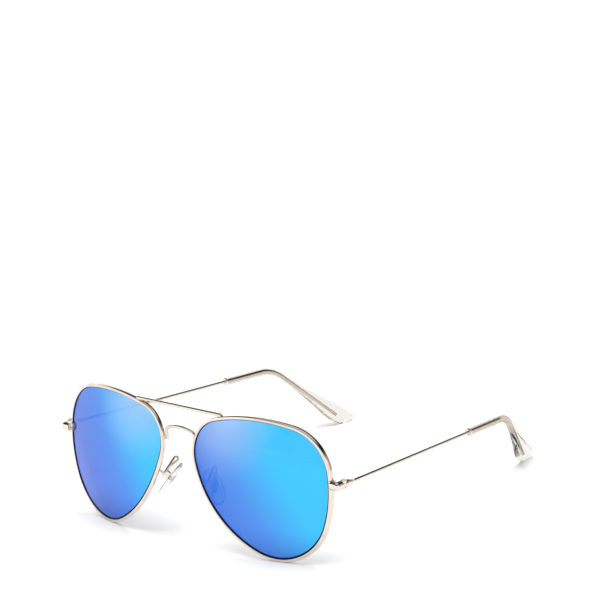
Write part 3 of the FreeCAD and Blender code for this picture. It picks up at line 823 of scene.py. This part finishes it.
# ------------------------------------------------------------------ end pieces and hinges
class AVIATOR_OT_hinges(bpy.types.Operator):
    """End pieces, rim closing blocks, hinge barrels and the necks that hold the temple wires"""

    bl_idname = "aviator.hinges"
    bl_label = "End pieces and hinges"

    def execute(self, context):
        sizes = context.scene.aviator_wires
        metal = [finish(cast_nickel_silver)]
        up, rearward = np.array([0, 0, 1.0]), np.array([0, 1.0, 0])
        low, high = (np.array(corner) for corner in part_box("left_end_piece"))
        level = (low[2] + high[2]) / 2
        strap, clearance = sizes.strap / 2, 0.05 * MM
        path = [
            (low[0], low[1] + strap, level),
            (high[0] - strap, low[1] + strap, level),
            (high[0] - strap, high[1] - clearance, level),
        ]
        places, headings = bent_path(path, [0.75 * MM], steps=10)
        ease = 0.3 * MM
        places, headings, shares = eased_ends(places, headings, ease, sizes.strap_tall / 2)
        section = crowned_box(sizes.strap, sizes.strap_tall)
        body = skin(carried(places, headings, up, section * shares[:, None, None]))
        make_pair("end_strap", [body], None, "frame_metal", metal, ["end_piece"])

        for which in ("upper", "lower"):
            low, high = (np.array(corner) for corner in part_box(f"left_{which}_closing_block"))
            radius = (high[1] - low[1]) / 2
            axis = (high[0] - radius, low[1] + radius, 0)
            barrel = turned(axis, up, drum(low[2], high[2], radius, 0.12 * MM))
            make_pair(f"{which}_lock_barrel", [barrel], None, "frame_metal", metal,
                      [f"{which}_closing_block"])

        pin = middle("left_hinge_screw") * (1, 1, 0)
        low, high = (np.array(corner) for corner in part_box("left_front_hinge_leaf"))
        knuckle, gap, edge = 0.9 * MM, 0.06 * MM, 0.1 * MM
        barrels = [
            turned(pin, up, drum(foot, foot + knuckle, sizes.barrel, edge))
            for foot in (low[2], high[2] - knuckle)
        ]
        plate_thick = 0.5 * MM
        plate_middle = np.array([low[0] + plate_thick / 2, (low[1] + pin[1]) / 2, 0])
        plate_path = plate_middle + up * np.array([[low[2]], [high[2]]])
        plate = carried(
            plate_path, np.tile(up, (2, 1)), rearward,
            rounded_box(plate_thick, pin[1] - low[1], 0.12 * MM),
        )
        make_pair("hinge_leaf", barrels + [skin(plate)], None, "frame_metal", metal,
                  ["front_hinge_leaf"])

        floor, ceiling = low[2] + knuckle + gap, high[2] - knuckle - gap
        barrel = turned(pin, up, drum(floor, ceiling, sizes.barrel, edge))
        start, ear, _ = temple_corners(sizes)
        along = unit(ear - start)
        reach = np.array([0, 0.15, 0.5, 1.2, 2.1, 2.6, 3.3, 3.5])
        flat = crowned_box(sizes.strap, sizes.strap_tall)
        sleeve_wall = 0.3 * MM
        round_end = circle() * (sizes.temple_wire / 2 + sleeve_wall)
        blend = np.interp(reach, [0, 0.3, 2.6], [0, 0.1, 1])[:, None, None]
        size = np.interp(reach, [0, 0.3, 3.2, 3.5], [0.86, 1, 1, 0.86])[:, None, None]
        section = (flat * (1 - blend) + round_end * blend) * size
        neck = carried(
            start + along * reach[:, None] * MM, np.tile(along, (len(reach), 1)), up, section
        )
        web_start = pin + (sizes.barrel / 2, 0, (floor + ceiling) / 2)
        web_path = web_start + rearward * np.array([[0], [1.6 * MM]])
        web = carried(
            web_path, np.tile(rearward, (2, 1)), up,
            rounded_box(sizes.barrel, ceiling - floor, 0.15 * MM),
        )
        make_pair("hinge_neck", [barrel, skin(neck), skin(web)], "temple", "frame_metal", metal,
                  ["temple_hinge_block"])
        for side in ("left", "right"):
            for node in ("hinge_screw", "lock_screw", "pad_screw"):
                set_finish(f"{side}_{node}", turned_steel)
            set_finish(f"{side}_pad_box", cast_nickel_silver)
            set_finish(f"{side}_pad_insert", plated_brass)
        return {"FINISHED"}


def set_finish(node, build):
    """Gives a CAD node that stays in view its material."""
    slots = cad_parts[node].data.materials
    slots.clear()
    slots.append(finish(build))


# ------------------------------------------------------------------ temples
def temple_corners(sizes):
    """Start of the left temple wire, the corner of its ear bend, and its end."""
    pin = middle("left_hinge_screw")
    pin[2] = middle("left_end_piece")[2]
    start = pin + np.array([0.1 * MM, sizes.barrel + 0.3 * MM, 0])
    ear = pin + np.array([-9.9, 93.6, -4.6]) * MM
    end = pin + np.array([-21.8, 113.1, -26.55]) * MM
    return start, ear, end


def flare_table():
    """Along the flare: its share of the length, spread, shift, thickness, and its turn.

    Smooth cubic curves run through the stations, up to where the blunt end starts. From there on
    the spread and thickness close like a quarter of an ellipse.
    """
    blunt_at, blunt_long, blunt_lean = 1.14, 0.065, 29
    stations = np.array([
        (0, 0, 0, 1, 0),
        (0.12, 0.01, 0.04, 1, 0),
        (0.3, 0.08, 0.08, 1, 0),
        (0.5, 0.27, 0.1, 1, 1),
        (0.7, 0.58, 0.15, 1, 5),
        (0.86, 0.86, 0.28, 1, 12),
        (1, 1, 0.5, 1, 20),
        (1.08, 1.01, 0.75, 1, 25),
        (blunt_at, 0.96, 0.9, 0.88, blunt_lean),
    ])
    share = np.linspace(0, blunt_at, 40)
    slope = np.gradient(stations[:, 1:], stations[:, 0], axis=0)
    step = np.clip(np.searchsorted(stations[:, 0], share, "right") - 1, 0, len(stations) - 2)
    span = stations[step + 1, 0] - stations[step, 0]
    t = ((share - stations[step, 0]) / span)[:, None]
    curves = (
        (1 + 2 * t) * (1 - t) ** 2 * stations[step, 1:]
        + t ** 2 * (3 - 2 * t) * stations[step + 1, 1:]
        + span[:, None] * t * (1 - t) * ((1 - t) * slope[step] - t * slope[step + 1])
    )
    u = np.sin(np.linspace(0, pi / 2, 9)[1:])
    fall = np.sqrt(1 - np.minimum(u, 0.998) ** 2)
    last = np.stack([
        0.5 + 0.46 * fall, 0.9 + 0.1 * u, 0.16 + 0.72 * fall, blunt_lean + 2 * u
    ], -1)
    share = np.append(share, blunt_at + blunt_long * u)
    spread, shift, thin, lean = np.vstack([curves, last]).T
    return share[1:], spread[1:], shift[1:], thin[1:], np.radians(lean[1:])


class AVIATOR_OT_temples(bpy.types.Operator):
    """Temple wires, their collars, and clear tips with the ear bend and a flared flat end"""

    bl_idname = "aviator.temples"
    bl_label = "Temples"

    def execute(self, context):
        sizes = context.scene.aviator_wires
        start, ear, end = temple_corners(sizes)
        along, down = unit(ear - start), unit(end - ear)
        sideways = unit(np.cross(along, down))
        core = wire([start, ear, end], [sizes.bend], sizes.temple_wire, sideways, edge=0.3)
        make_pair("temple_rod", [core], "temple", "frame_metal",
                  [finish(plated_nickel_silver)], ["temple_wire"])
        ring = start + along * sizes.collar_at
        collar = turned(ring, along, drum(0, sizes.collar_long, sizes.collar_wide / 2, 0.25 * MM))
        make_pair("collar_ring", [collar], "temple", "frame_metal",
                  [finish(cast_nickel_silver)], ["tip_collar"])

        tip = ring + along * sizes.collar_long
        turn = np.arccos(along @ down)
        straight = 1 * MM
        flare_start = ear + down * (sizes.bend * tan(turn / 2) + straight)
        places, headings = bent_path([tip, ear, flare_start], [sizes.bend], steps=24)
        share, spread, shift, thin, lean = flare_table()
        rear = np.cross(down, sideways)
        flare = flare_start + down * (sizes.paddle_long * share)[:, None]
        flare += rear * (sizes.paddle_shift * shift)[:, None]
        wide = sizes.tip_wide + spread * (sizes.paddle_wide - sizes.tip_wide)
        through = (sizes.tip_wide + spread * (sizes.paddle_thick - sizes.tip_wide)) * thin
        steady = np.full(len(places), sizes.tip_wide)
        places = np.vstack([places, flare])
        turned_on = down * np.cos(lean)[:, None] - rear * np.sin(lean)[:, None]
        headings = np.vstack([headings, turned_on])
        wide, through = np.append(steady, wide) / 2, np.append(steady, through) / 2
        section = circle(40) * np.stack([wide, through], -1)[:, None, :]
        shell = skin(carried(places, headings, sideways, section))
        make_pair("ear_tip", [shell], "temple", "clear_tip", [finish(clear_acetate)],
                  ["temple_tip"])
        return {"FINISHED"}


# ------------------------------------------------------------------ nose pads
class AVIATOR_OT_pads(bpy.types.Operator):
    """Nose pads, domed towards the skin and nearly flat behind, and their bent arm wires"""

    bl_idname = "aviator.pads"
    bl_label = "Nose pads"

    def execute(self, context):
        sizes = context.scene.aviator_pads
        centre = np.array([10.95 * MM, FRONT_Y + 5.15 * MM, 21.4 * MM])
        long = unit([0.585, -0.287, -0.757])
        wide = np.array([0.42, 0.905, -0.018])
        wide = unit(wide - long * (wide @ long))
        rear = np.cross(long, wide)
        t = np.linspace(0, 2 * pi, 72, endpoint=False)
        tilt = np.linspace(0.06, pi / 2, 18)
        reach = np.concatenate([np.sin(tilt), np.sin(tilt[-2::-1])])
        # The dome rises at once from the pad's edge, and the back is flat nearly up to it.
        bulge = np.concatenate([
            -sizes.pad_dome * (1 - np.sin(tilt) ** 2.4) ** 0.55,
            sizes.pad_back * (1 - np.sin(tilt[-2::-1]) ** 8) ** 0.5,
        ])
        spread = sizes.pad_wide / 2 * np.sin(t) * (1 + 0.1 * np.cos(t))
        edge = long * (sizes.pad_long / 2 * np.cos(t))[:, None] + wide * spread[:, None]
        rings = centre + edge * reach[:, None, None] + rear * bulge[:, None, None]
        make_pair("soft_pad", [skin(rings)], "pad", "pad_silicone", [finish(clear_silicone)],
                  ["nose_pad"])
        box = centre + rear * 2.85 * MM - long * 0.9 * MM
        points = np.array([(10.4, 0.0, 25.5), (11.0, 2.4, 23.8), (10.1, 7.6, 28.6),
                           (9.4, 9.2, 27.6)]) * MM + (0, FRONT_Y, 0)
        arm = wire([*points, box], np.array([0.9, 0.7, 0.7]) * MM, sizes.arm_wire, (1, 0, 0),
                   edge=0.4)
        make_pair("pad_wire", [arm], None, "frame_metal", [finish(plated_nickel_silver)],
                  ["pad_arm"])
        return {"FINISHED"}


# ------------------------------------------------------------------ stage
class AVIATOR_OT_stage(bpy.types.Operator):
    """A plain pale floor, soft studio light and the camera"""

    bl_idname = "aviator.stage"
    bl_label = "Floor, light and camera"

    def execute(self, context):
        scene = context.scene
        half = 4.0
        corners = [(-half, -half, 0), (half, -half, 0), (half, half, 0), (-half, half, 0)]
        mesh = bpy.data.meshes.new("floor")
        mesh.from_pydata(corners, [], [(0, 1, 2, 3)])
        mesh.materials.append(finish(pale_floor))
        floor = bpy.data.objects.new("floor", mesh)
        scene.collection.objects.link(floor)

        sideways, height = radians(46.158), radians(16.192)
        back = direction(sideways, height)
        right = unit(np.cross(-back, (0, 0, 1)))
        upward = np.cross(right, -back)
        roll = radians(-5.646)
        axes = (
            right * cos(roll) + upward * sin(roll),
            upward * cos(roll) - right * sin(roll),
            back,
        )
        target, distance = np.array([2.1, -0.85, 72.6]) * MM, 1643.6 * MM
        place = target + back * distance
        data = bpy.data.cameras.new("camera")
        data.sensor_width, data.lens = 36, 275.172
        data.clip_start, data.clip_end = 0.05, 30
        camera = bpy.data.objects.new("camera", data)
        camera.matrix_world = Matrix(
            [(*(axis[i] for axis in axes), place[i]) for i in range(3)] + [(0, 0, 0, 1)]
        )
        scene.collection.objects.link(camera)
        scene.camera = camera

        lamp = bpy.data.lights.new("overhead_softbox", "SUN")
        lamp.energy, lamp.angle = 2.6, radians(60)
        light = bpy.data.objects.new("overhead_softbox", lamp)
        light.visible_glossy = False
        scene.collection.objects.link(light)

        world = bpy.data.worlds.new("studio")
        scene.world = world
        world.use_nodes = True
        tree = world.node_tree
        tree.nodes.clear()
        look = add_node(tree, "ShaderNodeTexCoord")
        split = add_node(tree, "ShaderNodeSeparateXYZ", {0: look.outputs["Generated"]})
        ramp = add_node(tree, "ShaderNodeValToRGB", {"Fac": split.outputs["Z"]})
        # Bright all round up to a height, then a dark band, then a softbox overhead.
        bands = ramp.color_ramp.elements
        bands[0].position, bands[0].color = 0.34, opaque([1.22] * 3)
        bands[1].position, bands[1].color = 0.56, opaque([0.03] * 3)
        for height_share, glow in ((0.76, 0.03), (0.88, 0.9)):
            bands.new(height_share).color = opaque([glow] * 3)
        level = ramp.outputs["Color"]
        # A brighter softbox beside the front, and a dark card behind the wearer's left ear.
        for turn, rise, outer, inner, change in (
            (-42, 22, 0.925, 0.99, 1.3),
            (134, 22, 0.85, 0.95, 0.4),
        ):
            towards = tuple(direction(radians(turn), radians(rise)))
            closeness = add_node(
                tree,
                "ShaderNodeVectorMath",
                {0: look.outputs["Generated"], 1: towards},
                operation="DOT_PRODUCT",
            )
            lobe = add_node(
                tree,
                "ShaderNodeMapRange",
                {"Value": closeness.outputs["Value"], "From Min": outer, "From Max": inner,
                 "To Min": 1, "To Max": change},
                interpolation_type="SMOOTHSTEP",
            )
            level = add_node(
                tree, "ShaderNodeMath", {0: level, 1: lobe.outputs["Result"]},
                operation="MULTIPLY",
            ).outputs[0]
        sky = add_node(tree, "ShaderNodeBackground", {"Color": (1, 1, 1, 1), "Strength": level})
        add_node(tree, "ShaderNodeOutputWorld", {"Surface": sky.outputs[0]})
        scene.view_settings.view_transform = "Standard"
        return {"FINISHED"}


def direction(sideways, height):
    """A unit vector at an angle round from the front, towards the wearer's left, and upwards."""
    return np.array([sin(sideways) * cos(height), -cos(sideways) * cos(height), sin(height)])


FRONT_Y = middle("left_hinge_screw")[1] - 11.9 * MM

OPERATORS = (
    AVIATOR_OT_stage,
    AVIATOR_OT_rims,
    AVIATOR_OT_lenses,
    AVIATOR_OT_bridge,
    AVIATOR_OT_hinges,
    AVIATOR_OT_temples,
    AVIATOR_OT_pads,
)


class AVIATOR_PT_panel(bpy.types.Panel):
    """The steps that build the sunglasses"""

    bl_label = "Aviator Sunglasses"
    bl_idname = "AVIATOR_PT_panel"
    bl_space_type = "VIEW_3D"
    bl_region_type = "UI"
    bl_category = "Aviator"

    def draw(self, context):
        column = self.layout.column()
        for operator in OPERATORS:
            column.operator(operator.bl_idname)
        for group in (context.scene.aviator_front, context.scene.aviator_wires,
                      context.scene.aviator_pads, context.scene.aviator_finishes):
            for name in group.bl_rna.properties.keys():
                if name not in ("rna_type", "name"):
                    column.prop(group, name)


GROUPS = {
    "aviator_front": FrontSizes,
    "aviator_wires": WireSizes,
    "aviator_pads": PadSizes,
    "aviator_finishes": Finishes,
}


def register():
    for cls in (*GROUPS.values(), *OPERATORS, AVIATOR_PT_panel):
        bpy.utils.register_class(cls)
    for name, group in GROUPS.items():
        setattr(bpy.types.Scene, name, bpy.props.PointerProperty(type=group))


def unregister():
    for name in GROUPS:
        delattr(bpy.types.Scene, name)
    for cls in (AVIATOR_PT_panel, *reversed(OPERATORS), *reversed(GROUPS.values())):
        bpy.utils.unregister_class(cls)


def main():
    register()
    bpy.ops.aviator.stage()
    bpy.ops.aviator.rims()
    bpy.ops.aviator.lenses()
    bpy.ops.aviator.bridge()
    bpy.ops.aviator.hinges()
    bpy.ops.aviator.temples()
    bpy.ops.aviator.pads()


if __name__ == "__main__":
    main()
